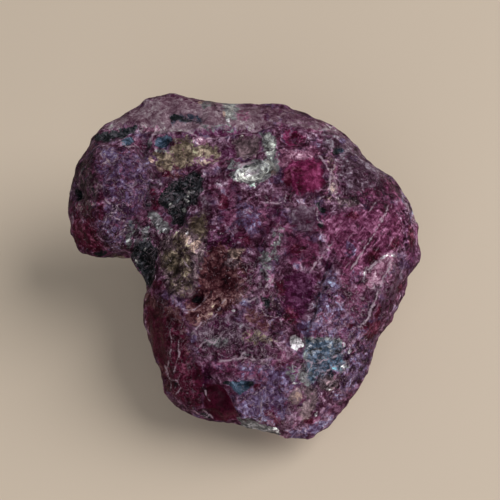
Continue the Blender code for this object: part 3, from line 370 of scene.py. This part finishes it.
LEDGES = ((0.3, 264,130, 245,134, 220,138, 196,137, 184,131, 150,134),
    (-0.2, 186,174, 205,166, 220,160, 240,158, 262,152, 276,150),
    (-0.16, 308,334, 316,300, 322,280, 334,262), (0.18, 213,379, 226,391, 238,414),
    (0.12, 404,205, 405,240, 400,268), (-0.14, 276,166, 272,182, 292,195),
    (0.18, 146,160, 150,185, 146,208, 130,224), (-0.14, 200,246, 208,262, 200,290, 186,302),
    (-0.12, 262,300, 276,316, 300,332))
LEDGE_REACH = 1.0
LEDGE_SOFTNESS = 0.12

# Lumps all over the stone: (size, height, octaves)
ROUGH_LAYERS = ((1.5, 0.09, 3), (0.50, 0.045, 3))
GLOSS_SMOOTHING = 0.8
CHIP_SIZE = 0.75
CHIP_HEIGHT = 0.06
CHIP_TILT = 1.6
CHIP_SEED = 7.3
STRIPE_TURN = math.radians(52)
STRIPE_LENGTH = 2.5
STRIPE_WIDTH = 0.30
STRIPE_HEIGHT = 0.06
STRIPE_OCTAVES = 2

# A patch fades out over this span of its reach, and a vein within this many half widths
OUTER_REACH = 1.35
REACH_SPAN = 0.75
FAR_SIDE = 4.0

# Borders wander by these noises: (size, reach)
WANDER = ((1.4, 0.11), (0.5, 0.07))
VEIN_WANDER = ((0.9, 0.10), (0.4, 0.06))
WANDER_OCTAVES = 2
WANDER_SEEDS = (11.0, 37.0)
# Noise fields: how much finer and fainter each octave is, and where a seed moves the field
OCTAVE_FALL = 1.0
OCTAVE_STEP = 2.0
SEED_DIRECTION = (1.0, 1.7, -1.0)
SEED_STEP = 3.0

# The hidden sides begin where the surface turns away from the camera
FACING_STEP = (-0.10, 0.15)
HIDDEN_SPAN = 0.30
HIDDEN_OCTAVES = 3
HIDDEN_SEED = 5.0

PLUM_DEEP = (0.052, 0.013, 0.031)
PLUM_LIGHT = (0.146, 0.057, 0.108)
VIOLET = (0.078, 0.040, 0.092)
RASPBERRY = (0.124, 0.025, 0.066)
# Minerals from the lowest layer up: colour, how far the grain breaks its border, and what
# share of the hidden sides it covers in patches of what size
MINERALS = {
    # Mauve's pale, grey colour is partly painted sheen
    "mauve": ((0.172, 0.100, 0.132), 2.5, 0.35, 4.5),
    "dusk": ((0.092, 0.047, 0.076), 4, 0.3, 3.6),
    "magenta": ((0.128, 0.026, 0.070), 3.5, 0.3, 4.2),
    "ruby": ((0.135, 0.012, 0.054), 2, 0.06, 2.4),
    "lavender": ((0.110, 0.066, 0.144), 4.5, 0.28, 4),
    "plum": ((0.060, 0.008, 0.036), 3.5, 0.28, 3.8),
    "rust": ((0.090, 0.028, 0.034), 4, 0.12, 3.6),
    "crimson": ((0.066, 0.005, 0.020), 2.6, 0.18, 3.4),
    "brown": ((0.135, 0.086, 0.100), 3, 0.08, 3.2),
    "olive": ((0.163, 0.121, 0.088), 3.5, 0.05, 3.6),
    "grey": ((0.126, 0.122, 0.130), 3, 0.06, 3),
    "sand": ((0.310, 0.205, 0.180), 2, 0.02, 2.4),
    "pink": ((0.285, 0.115, 0.190), 4, 0.06, 2.6),
    "teal": ((0.024, 0.043, 0.070), 1.4, 0.02, 1.6),
    "dark": ((0.009, 0.012, 0.014), 2.4, 0.06, 2.8),
    "quartz_and_painted_glints": ((0.330, 0.325, 0.310), 2.2, 0.015, 2.2),
    # This white is also the colour of painted glints
    "white_grains_and_painted_glints": ((0.600, 0.560, 0.600), 2.5, 0.004, 1.2),
}
HIDDEN_COVER = {name: row[2:] for name, row in MINERALS.items()}
HIDDEN_COVER |= {
    "network": (0.5, 3), "grain": (0.35, 4.5), "gloss": (0.2, 3.4),
    "stripes": (0.15, 4), "darker_tone_and_painted_shade": (0.12, 2.6), "lighter_tone_and_painted_light": (0.1, 2.6),
}
PALE_LINE = (0.500, 0.370, 0.450)
DARK_LINE = (0.014, 0.005, 0.010)

# The rock's noises: scale per millimetre, detail, roughness and shift in this direction
SHIFT_DIRECTION = (1.0, -1.7, 0.6)
NOISES = {
    "drift": (1.4, 3, 0.5, 0), "swirl": (0.9, 2, 0.5, 13), "broad": (0.55, 3, 0.6, 0),
    "medium": (1.9, 4, 0.65, 0), "grit": (3.4, 4, 0.75, 0), "grain": (2.2, 5, 0.75, 0),
    "violet": (0.9, 3, 0.6, 19), "raspberry": (0.9, 3, 0.6, 23), "streak": (1, 3, 0.6, 0),
    "flecks": (5, 2, 0.8, 2), "clusters": (1.1, 2, 0.6, 31), "soot": (2.6, 3, 0.7, 4),
}
DRIFT_REACH = 1.1
SWIRL_REACH = 1.3
GRAIN_SHIFTS = (0, 7, 14, 21)
# Cells are a scale and a shift, threads a scale, a width and a shift
CELLS = {"crystals": (1.8, 0), "small_crystals": (3.8, 3), "gaps": (2.3, 6), "cracks": (1.25, 0)}
THREADS = {"coarse": (1.3, 0.026, 5), "small": (2.6, 0.020, 9)}
# Smooth steps: where each starts and ends, and what it gives there where that isn't 0 and 1
STEPS = {
    "plum": (0.42, 0.60), "tint": (0.52, 0.64, 0, 0.8), "marking": (0.35, 0.65),
    "vein_width": (0.40, 0.60, 0.15, 1.5), "vein_line": (0.3, 1.3, 0.9, 0),
    "vein_breaks": (0.42, 0.55, 0.1, 1), "gaps": (0, 0.16), "gap_depth": (0.45, 0.60, 0, 0.45),
    "network": (0.45, 0.70, 0, 0.25), "cracks": (0, 0.06, 1, 0), "coarse": (0.46, 0.60),
    "small": (0.48, 0.62), "calm_network": (0, 1, 0.50, 0.12),
    "strokes": (0.58, 0.68, 0, 0.45), "stroke_breaks": (0.42, 0.58),
    "flecks": (0.63, 0.71), "clusters": (0.47, 0.62), "haze": (0, 1.8, 0, 0.14),
    "soot": (0.41, 0.30), "roughness": (0.3, 0.7, 0.34, 0.60), "floor": (0.3, 0.7, 0.6, 0.7),
}
# The grain pushes a marking's border by its share times the rise less the fall times it
PUSH_RISE = 4.4
PUSH_FALL = 4.0
# The stripes' noise is stretched along them, in millimetres to the unit, and packed across
STREAK_DRIFT = 0.5
STREAK_ALONG = 0.55
STREAK_ACROSS = 5.0
# Pale ridges in the tone: scale, strength and shift
RIDGES = ((0.6, 0.45, 41), (1.2, 0.40, 44), (2.4, 0.12, 47))
RIDGE_REACH = 0.16
RIDGE_DETAIL = 1.0
THREAD_DETAIL = 1.5
# How far each signal swings the tone
TONE_WEIGHTS = {"crystals": 0.45, "small_crystals": 0.60, "medium": 1.2, "grit": 1.3, "streak": 2.2}
TONE_DROP = 0.11
TONE_CONTRAST = 1.8
GRAIN_CONTRAST = 1.2
BROAD_CONTRAST = 2.5
CALM_CONTRAST = 1.0
# How far the lighter and darker marks, partly painted light and shade, move the tone
LIGHT_STEP = 0.66
# How much of the tone each colour channel takes: dark grains are redder and pale ones
# greyer, but for the plain minerals
TONE_SHARES = (0.84, 1.22, 1.00)
PLAIN_LAYERS = ("grey", "quartz_and_painted_glints", "white_grains_and_painted_glints", "sand", "olive", "brown", "teal", "dark")
# Flecks, painted as glints, and soot: the least of each, and more of it in grain and in clusters
PAINTED_GLINT_LEAST = 0.15
SOOT_LEAST = 0.30
MORE_IN_GRAIN = 0.5
MORE_IN_CLUSTERS = 0.5
SOOT_CALM = 0.8
GLOSS_POLISH = 0.16
QUARTZ_POLISH = 0.12
SPECULAR_LEVEL = 0.03
REFRACTION = 1.6
BUMP_WEIGHTS = {"grit": 0.7, "medium": 0.8, "small_crystals": 0.15, "network": 0.15}
BUMP_CALM = 0.7
BUMP_STRENGTH = 0.8
BUMP_HEIGHT = 0.18

# Studio lights, in metres: place, size, power and colour
LIGHTS = {
    "key": ((0.52, 0.04, 0.50), 0.70, 4.6, (1.0, 0.98, 0.97)),
    "fill": ((-0.10, -0.55, 0.40), 0.50, 1.3, (0.90, 0.95, 1.0)),
}
LIGHT_TARGET = Vector((0.0, 0.0, 0.008))
WORLD_COLOUR = (1.0, 0.98, 0.96, 1.0)
WORLD_STRENGTH = 0.20


def to_sight(points):
    """Where each point shows in the photograph, in its pixels."""
    sine = math.sin(FACE_ELEVATION)
    cosine = math.cos(FACE_ELEVATION)
    away = points - np.array(FACE_MIDDLE)
    up = away[:, 1] * sine + away[:, 2] * cosine
    out = away[:, 2] * sine - away[:, 1] * cosine
    scale = FOCAL_PX / (SIGHT_DISTANCE - out)
    return np.stack([PX_MIDDLE + away[:, 0] * scale, PX_MIDDLE - up * scale], axis=1)


def fractal(place, octaves):
    return noise.fractal(place, OCTAVE_FALL, OCTAVE_STEP, octaves)


def field(points, size, octaves, seed):
    """Fractal noise at each point, from about -1 to 1."""
    shift = Vector([seed * share for share in SEED_DIRECTION])
    return np.array([fractal(Vector(point) / size + shift, octaves) for point in points])


def smooth(values, low, high):
    share = np.clip((values - low) / (high - low), 0.0, 1.0)
    return share * share * (3.0 - 2.0 * share)


def fade(reach):
    """1 at no reach, falling smoothly to 0 at a reach of 1."""
    return (1.0 - np.minimum(reach, 1.0) ** 2) ** 2


def wander(points, sight, steps):
    """The places in the photograph, moved a little so that straight borders wander."""
    moved = sight.copy()
    for index, (size, reach) in enumerate(steps):
        for axis, seed in enumerate(WANDER_SEEDS):
            moved[:, axis] += field(points, size, WANDER_OCTAVES, seed + index) * reach / MM_PER_PX
    return moved


def pairs(row):
    """The points of a row of numbers, one x and y after another."""
    return list(zip(row[::2], row[1::2]))


def turned(places, turn):
    """How far places lie along and across a direction turned from the level."""
    along = places[:, 0] * math.cos(turn) - places[:, 1] * math.sin(turn)
    across = places[:, 0] * math.sin(turn) + places[:, 1] * math.cos(turn)
    return along, across


def patch_reach(sight, x, y, half_width, half_height, turn):
    """0 in the middle of a patch and 1 on its border."""
    along, across = turned((sight - np.array((x, y))) * MM_PER_PX, math.radians(turn))
    return np.hypot(along / half_width, across / half_height)


def line_reach(sight, points):
    """The distance to a line of pixels in millimetres, and how far to its left."""
    best = np.full(len(sight), np.inf)
    left = np.zeros(len(sight))
    for start, end in zip(points, points[1:]):
        start = np.array(start, float)
        along = np.array(end, float) - start
        offset = sight - start
        share = np.clip(offset @ along / (along @ along), 0.0, 1.0)
        distance = np.linalg.norm(offset - share[:, None] * along, axis=1)
        side = (along[1] * offset[:, 0] - along[0] * offset[:, 1]) / np.linalg.norm(along)
        nearer = distance < best
        best = np.where(nearer, distance, best)
        left = np.where(nearer, side, left)
    return best * MM_PER_PX, left * MM_PER_PX


def inside(sight, corners):
    """Which places lie inside an outline of pixels."""
    within = np.zeros(len(sight), bool)
    for (x0, y0), (x1, y1) in zip(corners, corners[1:] + corners[:1]):
        if y0 == y1:
            continue
        spans = (sight[:, 1] >= min(y0, y1)) & (sight[:, 1] < max(y0, y1))
        crossing = x0 + (sight[:, 1] - y0) * (x1 - x0) / (y1 - y0)
        within ^= spans & (sight[:, 0] < crossing)
    return within


def marking_share(name, sight):
    """How much of each point a marking covers: all of it inside a patch, none outside it."""
    share = np.zeros(len(sight))
    for strength, softness, *row in AREAS.get(name, ()):
        corners = pairs(row)
        distance, _ = line_reach(sight, corners + corners[:1])
        depth = np.where(inside(sight, corners), distance, -distance)
        share = np.maximum(share, strength * np.clip(0.5 + depth / softness, 0.0, 1.0))
    for *patch, strength in PATCHES.get(name, ()):
        reach = patch_reach(sight, *patch)
        share = np.maximum(share, strength * np.clip((OUTER_REACH - reach) / REACH_SPAN, 0.0, 1.0))
    return share


def vein_sides(name, sight):
    """How far to the left of the nearest vein each point is, in its half widths, and its strength."""
    side = np.full(len(sight), FAR_SIDE)
    share = np.zeros(len(sight))
    nearest = np.full(len(sight), np.inf)
    for half_width, strength, *row in VEINS[name]:
        distance, left = line_reach(sight, pairs(row))
        nearer = distance / half_width < nearest
        nearest = np.where(nearer, distance / half_width, nearest)
        side = np.where(nearer, np.clip(left / half_width, -FAR_SIDE, FAR_SIDE), side)
        share = np.where(nearer, strength * fade(distance / (half_width * FAR_SIDE)), share)
    return side, share


def hidden_share(name, points, index):
    """How much of each hidden point a marking covers."""
    cover, size = HIDDEN_COVER[name]
    values = field(points, size, HIDDEN_OCTAVES, HIDDEN_SEED + SEED_STEP * index)
    edge = np.quantile(values, 1.0 - cover)
    return np.clip(0.5 + (values - edge) / HIDDEN_SPAN, 0.0, 1.0)


def make_stone():
    """A finer copy of the CAD stone's mesh."""
    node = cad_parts[NODE]
    mesh = node.data.copy()
    stone = bpy.data.objects.new("ruby_stone", mesh)
    bpy.context.scene.collection.objects.link(stone)
    mesh.materials.clear()
    remesh = stone.modifiers.new("finer", "REMESH")
    remesh.mode = "VOXEL"
    remesh.voxel_size = VOXEL * MM
    even = stone.modifiers.new("even", "SMOOTH")
    even.factor = SMOOTH_FACTOR
    even.iterations = SMOOTH_STEPS
    graph = bpy.context.evaluated_depsgraph_get()
    made = bpy.data.meshes.new_from_object(stone.evaluated_get(graph))
    stone.modifiers.clear()
    stone.data = made
    bpy.data.meshes.remove(mesh)
    made.name = "ruby_stone"
    return stone


def vertex_rows(mesh, name):
    flat = np.empty(len(mesh.vertices) * 3, np.float32)
    mesh.vertices.foreach_get(name, flat)
    return flat.reshape(-1, 3).astype(float)


def chips(points):
    """Small flat-sided grains: the height of the nearest grain's tilted top."""
    heights = []
    for point in points:
        place = Vector(point) / CHIP_SIZE
        _, centres = noise.voronoi(place)
        tilt = noise.cell_vector(centres[0] * CHIP_SEED) - Vector((0.5, 0.5, 0.5))
        heights.append(tilt.dot(place - centres[0]) * CHIP_TILT)
    return np.array(heights)


def stripes(sight):
    """Fine ridges that run up to the right across the plate."""
    along, across = turned(sight, STRIPE_TURN)
    places = zip(along * MM_PER_PX / STRIPE_LENGTH, across * MM_PER_PX / STRIPE_WIDTH)
    return np.array([fractal(Vector((a, b, 0.0)), STRIPE_OCTAVES) for a, b in places])


def relief(points, sight, masks, facing):
    """The height of the fine relief at each point."""
    height = np.zeros(len(points))
    rough = 1.0 - GLOSS_SMOOTHING * masks["gloss"]
    for index, (size, tall, octaves) in enumerate(ROUGH_LAYERS):
        height += field(points, size, octaves, SEED_STEP * index) * tall * rough
    height += chips(points) * CHIP_HEIGHT * rough
    height += stripes(sight) * STRIPE_HEIGHT * masks["stripes"]
    for *patch, depth in DENTS:
        height -= facing * depth * fade(patch_reach(sight, *patch))
    for half_width, depth, *row in GROOVES:
        distance, _ = line_reach(sight, pairs(row))
        height -= facing * depth * fade(distance / half_width)
    for tall, *row in LEDGES:
        distance, left = line_reach(sight, pairs(row))
        height += facing * tall * np.tanh(left / LEDGE_SOFTNESS) * fade(distance / LEDGE_REACH)
    return height


def shape_stone(stone, box_low, box_high):
    """Adds the fine relief to the mesh and keeps each marking's strength at every vertex."""
    points = vertex_rows(stone.data, "co") / MM
    normals = vertex_rows(stone.data, "normal")
    facing = smooth(normals @ np.array(SIGHT_DIRECTION), *FACING_STEP)
    unseen = facing < 1.0
    sight = to_sight(points)
    moved = wander(points, sight, WANDER)
    masks = {}
    for index, name in enumerate(HIDDEN_COVER):
        hidden = np.zeros(len(points))
        hidden[unseen] = hidden_share(name, points[unseen], index)
        masks[name] = facing * marking_share(name, moved) + (1.0 - facing) * hidden
    veined = wander(points, sight, VEIN_WANDER)
    height = relief(points, veined, masks, facing)
    for name in VEINS:
        side, share = vein_sides(name, veined)
        masks[name + "_side"] = side
        masks[name + "_share"] = share * facing
    height *= smooth(points[:, 2], 0.0, BASE_FADE)
    points = points + normals * height[:, None]
    points = np.clip(points, np.array(box_low) / MM, np.array(box_high) / MM)
    stone.data.vertices.foreach_set("co", (points * MM).astype(np.float32).ravel())
    stone.data.update()
    for name, mask in masks.items():
        layer = stone.data.attributes.new(name, "FLOAT", "POINT")
        layer.data.foreach_set("value", mask.astype(np.float32))
    stone.data.shade_smooth()


class Graph:
    """A material's nodes, added one by one."""

    def __init__(self, name):
        self.material = bpy.data.materials.new(name)
        self.material.use_nodes = True
        self.tree = self.material.node_tree
        self.surface = self.tree.nodes["Principled BSDF"]

    def add(self, kind, settings=None, **inputs):
        made = self.tree.nodes.new(kind)
        for key, value in (settings or {}).items():
            setattr(made, key, value)
        for key, value in inputs.items():
            self.feed(made.inputs[key], value)
        return made

    def feed(self, socket, value):
        if isinstance(value, bpy.types.NodeSocket):
            self.tree.links.new(value, socket)
        else:
            socket.default_value = value

    def math(self, operation, first, second=0.0):
        made = self.add("ShaderNodeMath", {"operation": operation})
        self.feed(made.inputs[0], first)
        self.feed(made.inputs[1], second)
        return made.outputs[0]

    def plus(self, first, second):
        return self.math("ADD", first, second)

    def minus(self, first, second):
        return self.math("SUBTRACT", first, second)

    def times(self, first, second):
        return self.math("MULTIPLY", first, second)

    def most(self, first, second):
        return self.math("MAXIMUM", first, second)

    def vector(self, operation, first, second, output="Vector"):
        made = self.add("ShaderNodeVectorMath", {"operation": operation})
        self.feed(made.inputs[0], first)
        self.feed(made.inputs[1], second)
        return made.outputs[output]

    def dot(self, vector, direction):
        return self.vector("DOT_PRODUCT", vector, direction, "Value")

    def scaled(self, vector, factor):
        made = self.add("ShaderNodeVectorMath", {"operation": "SCALE"}, Scale=factor)
        self.feed(made.inputs[0], vector)
        return made.outputs[0]

    def shifted(self, vector, amount):
        return self.vector("ADD", vector, [amount * share for share in SHIFT_DIRECTION])

    def noise(self, vector, scale, detail=2.0, rough=0.5):
        return self.add("ShaderNodeTexNoise", Vector=vector, Scale=scale, Detail=detail, Roughness=rough)

    def rock(self, name, vector, further=0):
        """One of the rock's noises, from 0 to 1."""
        scale, detail, rough, shift = NOISES[name]
        return self.noise(self.shifted(vector, shift + further), scale, detail, rough).outputs["Fac"]

    def offsets(self, name, vector, reach):
        """One of the rock's noises as an offset at each place."""
        scale, detail, rough, shift = NOISES[name]
        colour = self.noise(self.shifted(vector, shift), scale, detail, rough).outputs["Color"]
        return self.scaled(self.vector("SUBTRACT", colour, (0.5, 0.5, 0.5)), reach)

    def edges(self, name, vector):
        """The distance to the nearest border between cells."""
        scale, shift = CELLS[name]
        settings = {"feature": "DISTANCE_TO_EDGE"}
        made = self.add("ShaderNodeTexVoronoi", settings, Vector=self.shifted(vector, shift), Scale=scale)
        return made.outputs["Distance"]

    def cells(self, name, vector):
        """A random number for each cell."""
        scale, shift = CELLS[name]
        made = self.add("ShaderNodeTexVoronoi", Vector=self.shifted(vector, shift), Scale=scale)
        return self.add("ShaderNodeSeparateColor", Color=made.outputs["Color"]).outputs[0]

    def step(self, name, value):
        """A smooth step from one value to another."""
        return self.step_between(value, STEPS[name])

    def step_between(self, value, limits):
        made = self.add("ShaderNodeMapRange", {"interpolation_type": "SMOOTHSTEP"}, Value=value)
        for socket, limit in zip(made.inputs[1:5], limits):
            self.feed(socket, limit)
        return made.outputs[0]

    def swing(self, signal, weight):
        """A signal's distance from its middle, weighted."""
        return self.times(self.minus(signal, 0.5), weight)

    def mix(self, factor, first, second):
        made = self.add("ShaderNodeMix", {"data_type": "RGBA"})
        self.feed(made.inputs[0], factor)
        for socket, value in zip(made.inputs[6:8], (first, second)):
            self.feed(socket, (*value, 1.0) if isinstance(value, tuple) else value)
        return made.outputs[2]

    def attribute(self, name):
        return self.add("ShaderNodeAttribute", {"attribute_name": name}).outputs["Fac"]

    def broken(self, name, grain, amount):
        """Whether a marking covers a point: its share, with the border broken up by the grain."""
        share = self.attribute(name)
        reach = self.times(share, self.minus(PUSH_RISE, self.times(share, PUSH_FALL)))
        return self.step("marking", self.plus(share, self.times(self.swing(grain, amount), reach)))

    def vein(self, name, grain):
        """A thin line that the grain thins and breaks."""
        side = self.math("ABSOLUTE", self.attribute(name + "_side"))
        width = self.step("vein_width", grain)
        line = self.step("vein_line", self.math("DIVIDE", side, width))
        line = self.times(line, self.step("vein_breaks", grain))
        return self.times(line, self.attribute(name + "_share"))

    def winding(self, vector, scale, detail, width):
        """Winding lines where a noise nears its middle value."""
        signal = self.noise(vector, scale, detail).outputs["Fac"]
        away = self.math("ABSOLUTE", self.minus(signal, 0.5))
        return self.step_between(away, (0, width, 1, 0))

    def threads(self, name, vector):
        scale, width, shift = THREADS[name]
        return self.winding(self.shifted(vector, shift), scale, THREAD_DETAIL, width * scale)


def face_direction(turn):
    """A direction in the plane of the broad face, turned from its level."""
    rise = math.sin(turn)
    return (math.cos(turn), rise * math.sin(FACE_ELEVATION), rise * math.cos(FACE_ELEVATION))


def ruby_material():
    g = Graph("ruby_rock")
    place = g.scaled(g.add("ShaderNodeTexCoord").outputs["Object"], 1.0 / MM)
    drift = g.offsets("drift", place, DRIFT_REACH)
    warped = g.vector("ADD", place, drift)
    swirled = g.vector("ADD", place, g.offsets("swirl", place, SWIRL_REACH))

    broad = g.rock("broad", warped)
    medium = g.rock("medium", warped)
    grit = g.rock("grit", swirled)
    grains = [g.rock("grain", warped, shift) for shift in GRAIN_SHIFTS]
    crystals = g.cells("crystals", warped)
    small_crystals = g.cells("small_crystals", swirled)
    gaps = g.step("gaps", g.edges("gaps", swirled))
    gloss = g.attribute("gloss")
    grain = g.attribute("grain")
    network = g.attribute("network")

    colour = g.mix(g.step("plum", medium), PLUM_DEEP, PLUM_LIGHT)
    for name, tint in (("violet", VIOLET), ("raspberry", RASPBERRY)):
        colour = g.mix(g.step("tint", g.rock(name, warped)), colour, tint)
    for index, (name, (tint, push, *_)) in enumerate(MINERALS.items()):
        colour = g.mix(g.broken(name, grains[index % len(grains)], push), colour, tint)

    turned = g.vector("ADD", place, g.scaled(drift, STREAK_DRIFT))
    along = g.times(g.dot(turned, face_direction(STRIPE_TURN)), STREAK_ALONG)
    across = g.times(g.dot(turned, face_direction(STRIPE_TURN + math.pi / 2)), STREAK_ACROSS)
    streak = g.rock("streak", g.add("ShaderNodeCombineXYZ", X=along, Y=across).outputs[0])
    striped = g.attribute("stripes")

    tone = g.swing(crystals, TONE_WEIGHTS["crystals"])
    for scale, weight, shift in RIDGES:
        ridge = g.winding(g.shifted(warped, shift), scale, RIDGE_DETAIL, RIDGE_REACH)
        tone = g.plus(tone, g.swing(ridge, weight))
    for name, signal in (("small_crystals", small_crystals), ("medium", medium), ("grit", grit)):
        tone = g.plus(tone, g.swing(signal, TONE_WEIGHTS[name]))
    tone = g.plus(tone, g.times(g.swing(streak, TONE_WEIGHTS["streak"]), striped))
    tone = g.plus(tone, g.times(g.minus(gaps, 1.0), g.step("gap_depth", grains[0])))
    swing = g.plus(TONE_CONTRAST, g.times(grain, GRAIN_CONTRAST))
    swing = g.plus(swing, g.swing(broad, BROAD_CONTRAST))
    tone = g.times(tone, g.plus(swing, g.times(gloss, g.minus(CALM_CONTRAST, swing))))
    tone = g.minus(tone, TONE_DROP)
    # Painted light and painted shade: the lighter and darker marks raise and lower the tone
    tone = g.plus(tone, g.times(g.minus(g.attribute("lighter_tone_and_painted_light"), g.attribute("darker_tone_and_painted_shade")), LIGHT_STEP))
    gains = [g.math("POWER", math.e, g.times(tone, share)) for share in TONE_SHARES]
    gain = g.add("ShaderNodeCombineXYZ", X=gains[0], Y=gains[1], Z=gains[2]).outputs[0]
    plain = g.attribute(PLAIN_LAYERS[0])
    for name in PLAIN_LAYERS[1:]:
        plain = g.most(plain, g.attribute(name))
    even = g.math("POWER", math.e, tone)
    gain = g.mix(plain, gain, g.add("ShaderNodeCombineXYZ", X=even, Y=even, Z=even).outputs[0])
    colour = g.vector("MULTIPLY", colour, gain)

    here = g.plus(network, g.step("network", broad))
    cracks = g.step("cracks", g.edges("cracks", warped))
    coarse = g.times(g.most(g.threads("coarse", warped), cracks), g.step("coarse", grains[1]))
    small = g.times(g.threads("small", swirled), g.step("small", grains[2]))
    net = g.times(g.most(coarse, small), g.times(here, g.step("calm_network", gloss)))
    strokes = g.times(g.step("strokes", streak), striped)
    net = g.most(net, g.times(strokes, g.step("stroke_breaks", grains[3])))
    # Painted glints: pale flecks, more of them in grain and in clusters, fewer where the stone is glossy
    flecks = g.step("flecks", g.rock("flecks", swirled))
    clusters = g.step("clusters", g.rock("clusters", warped))
    painted_glints = g.times(flecks, g.plus(PAINTED_GLINT_LEAST, g.times(grain, MORE_IN_GRAIN)))
    painted_glints = g.plus(painted_glints, g.times(flecks, g.times(clusters, MORE_IN_CLUSTERS)))
    pale = g.most(net, g.times(painted_glints, g.minus(1.0, gloss)))
    pale = g.most(pale, g.vein("pale", grains[3]))
    pale = g.most(pale, g.step("haze", tone))
    colour = g.mix(pale, colour, PALE_LINE)
    soot = g.step("soot", g.rock("soot", swirled))
    soot = g.times(soot, g.plus(SOOT_LEAST, g.times(grain, MORE_IN_GRAIN)))
    soot = g.times(soot, g.minus(1.0, g.times(gloss, SOOT_CALM)))
    colour = g.mix(g.most(soot, g.vein("shade", grains[0])), colour, DARK_LINE)
    g.feed(g.surface.inputs["Base Color"], colour)

    rough = g.minus(g.step("roughness", grit), g.times(gloss, GLOSS_POLISH))
    rough = g.minus(rough, g.times(g.attribute("quartz_and_painted_glints"), QUARTZ_POLISH))
    g.feed(g.surface.inputs["Roughness"], rough)
    g.feed(g.surface.inputs["IOR"], REFRACTION)
    g.feed(g.surface.inputs["Specular IOR Level"], SPECULAR_LEVEL)

    bumps = g.plus(g.times(grit, BUMP_WEIGHTS["grit"]), g.times(medium, BUMP_WEIGHTS["medium"]))
    bumps = g.plus(bumps, g.times(small_crystals, BUMP_WEIGHTS["small_crystals"]))
    bumps = g.plus(bumps, g.times(net, BUMP_WEIGHTS["network"]))
    bumps = g.times(bumps, g.minus(1.0, g.times(gloss, BUMP_CALM)))
    bump = g.add("ShaderNodeBump", Height=bumps, Strength=BUMP_STRENGTH, Distance=BUMP_HEIGHT * MM)
    g.feed(g.surface.inputs["Normal"], bump.outputs[0])
    return g.material


def make_floor():
    half = FLOOR_SIZE / 2
    mesh = bpy.data.meshes.new("floor")
    corners = [(-half, -half, 0.0), (half, -half, 0.0), (half, half, 0.0), (-half, half, 0.0)]
    mesh.from_pydata(corners, [], [(0, 1, 2, 3)])
    floor = bpy.data.objects.new("floor", mesh)
    bpy.context.scene.collection.objects.link(floor)
    g = Graph("pale_floor")
    place = g.add("ShaderNodeTexCoord").outputs["Object"]
    g.feed(g.surface.inputs["Base Color"], FLOOR_COLOUR)
    unevenness = g.noise(place, FLOOR_GRAIN).outputs["Fac"]
    g.feed(g.surface.inputs["Roughness"], g.step("floor", unevenness))
    floor.data.materials.append(g.material)


def aim(thing, target):
    thing.rotation_euler = (target - thing.location).to_track_quat("-Z", "Y").to_euler()


def add_light(name, place, size, power, colour):
    data = bpy.data.lights.new(name, "AREA")
    data.shape = "DISK"
    data.size = size
    data.energy = power
    data.color = colour
    light = bpy.data.objects.new(name, data)
    bpy.context.scene.collection.objects.link(light)
    light.location = place
    aim(light, LIGHT_TARGET)


def make_lights():
    for name, settings in LIGHTS.items():
        add_light(name, *settings)
    world = bpy.data.worlds.new("studio")
    world.use_nodes = True
    background = world.node_tree.nodes["Background"]
    background.inputs["Color"].default_value = WORLD_COLOUR
    background.inputs["Strength"].default_value = WORLD_STRENGTH
    bpy.context.scene.world = world


def make_camera():
    data = bpy.data.cameras.new("camera")
    data.lens = LENS_MM
    data.sensor_width = SENSOR_MM
    data.clip_start = CLIP_START
    camera = bpy.data.objects.new("camera", data)
    bpy.context.scene.collection.objects.link(camera)
    camera.location = (FACE_MIDDLE + Vector(SIGHT_DIRECTION) * SIGHT_DISTANCE) * MM
    aim(camera, FACE_MIDDLE * MM)
    bpy.context.scene.camera = camera


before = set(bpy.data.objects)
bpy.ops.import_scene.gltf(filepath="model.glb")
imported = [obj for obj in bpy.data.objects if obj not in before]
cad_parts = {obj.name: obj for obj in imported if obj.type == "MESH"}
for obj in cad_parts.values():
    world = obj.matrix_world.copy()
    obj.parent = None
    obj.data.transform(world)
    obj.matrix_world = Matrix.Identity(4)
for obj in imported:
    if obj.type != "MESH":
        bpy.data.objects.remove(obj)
cad_low, cad_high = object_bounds()

stone = make_stone()
shape_stone(stone, cad_low, cad_high)
stone.data.materials.append(ruby_material())
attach(stone, "root")
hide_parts(NODE)

make_floor()
make_lights()
make_camera()
bpy.context.scene.view_settings.view_transform = "Standard"
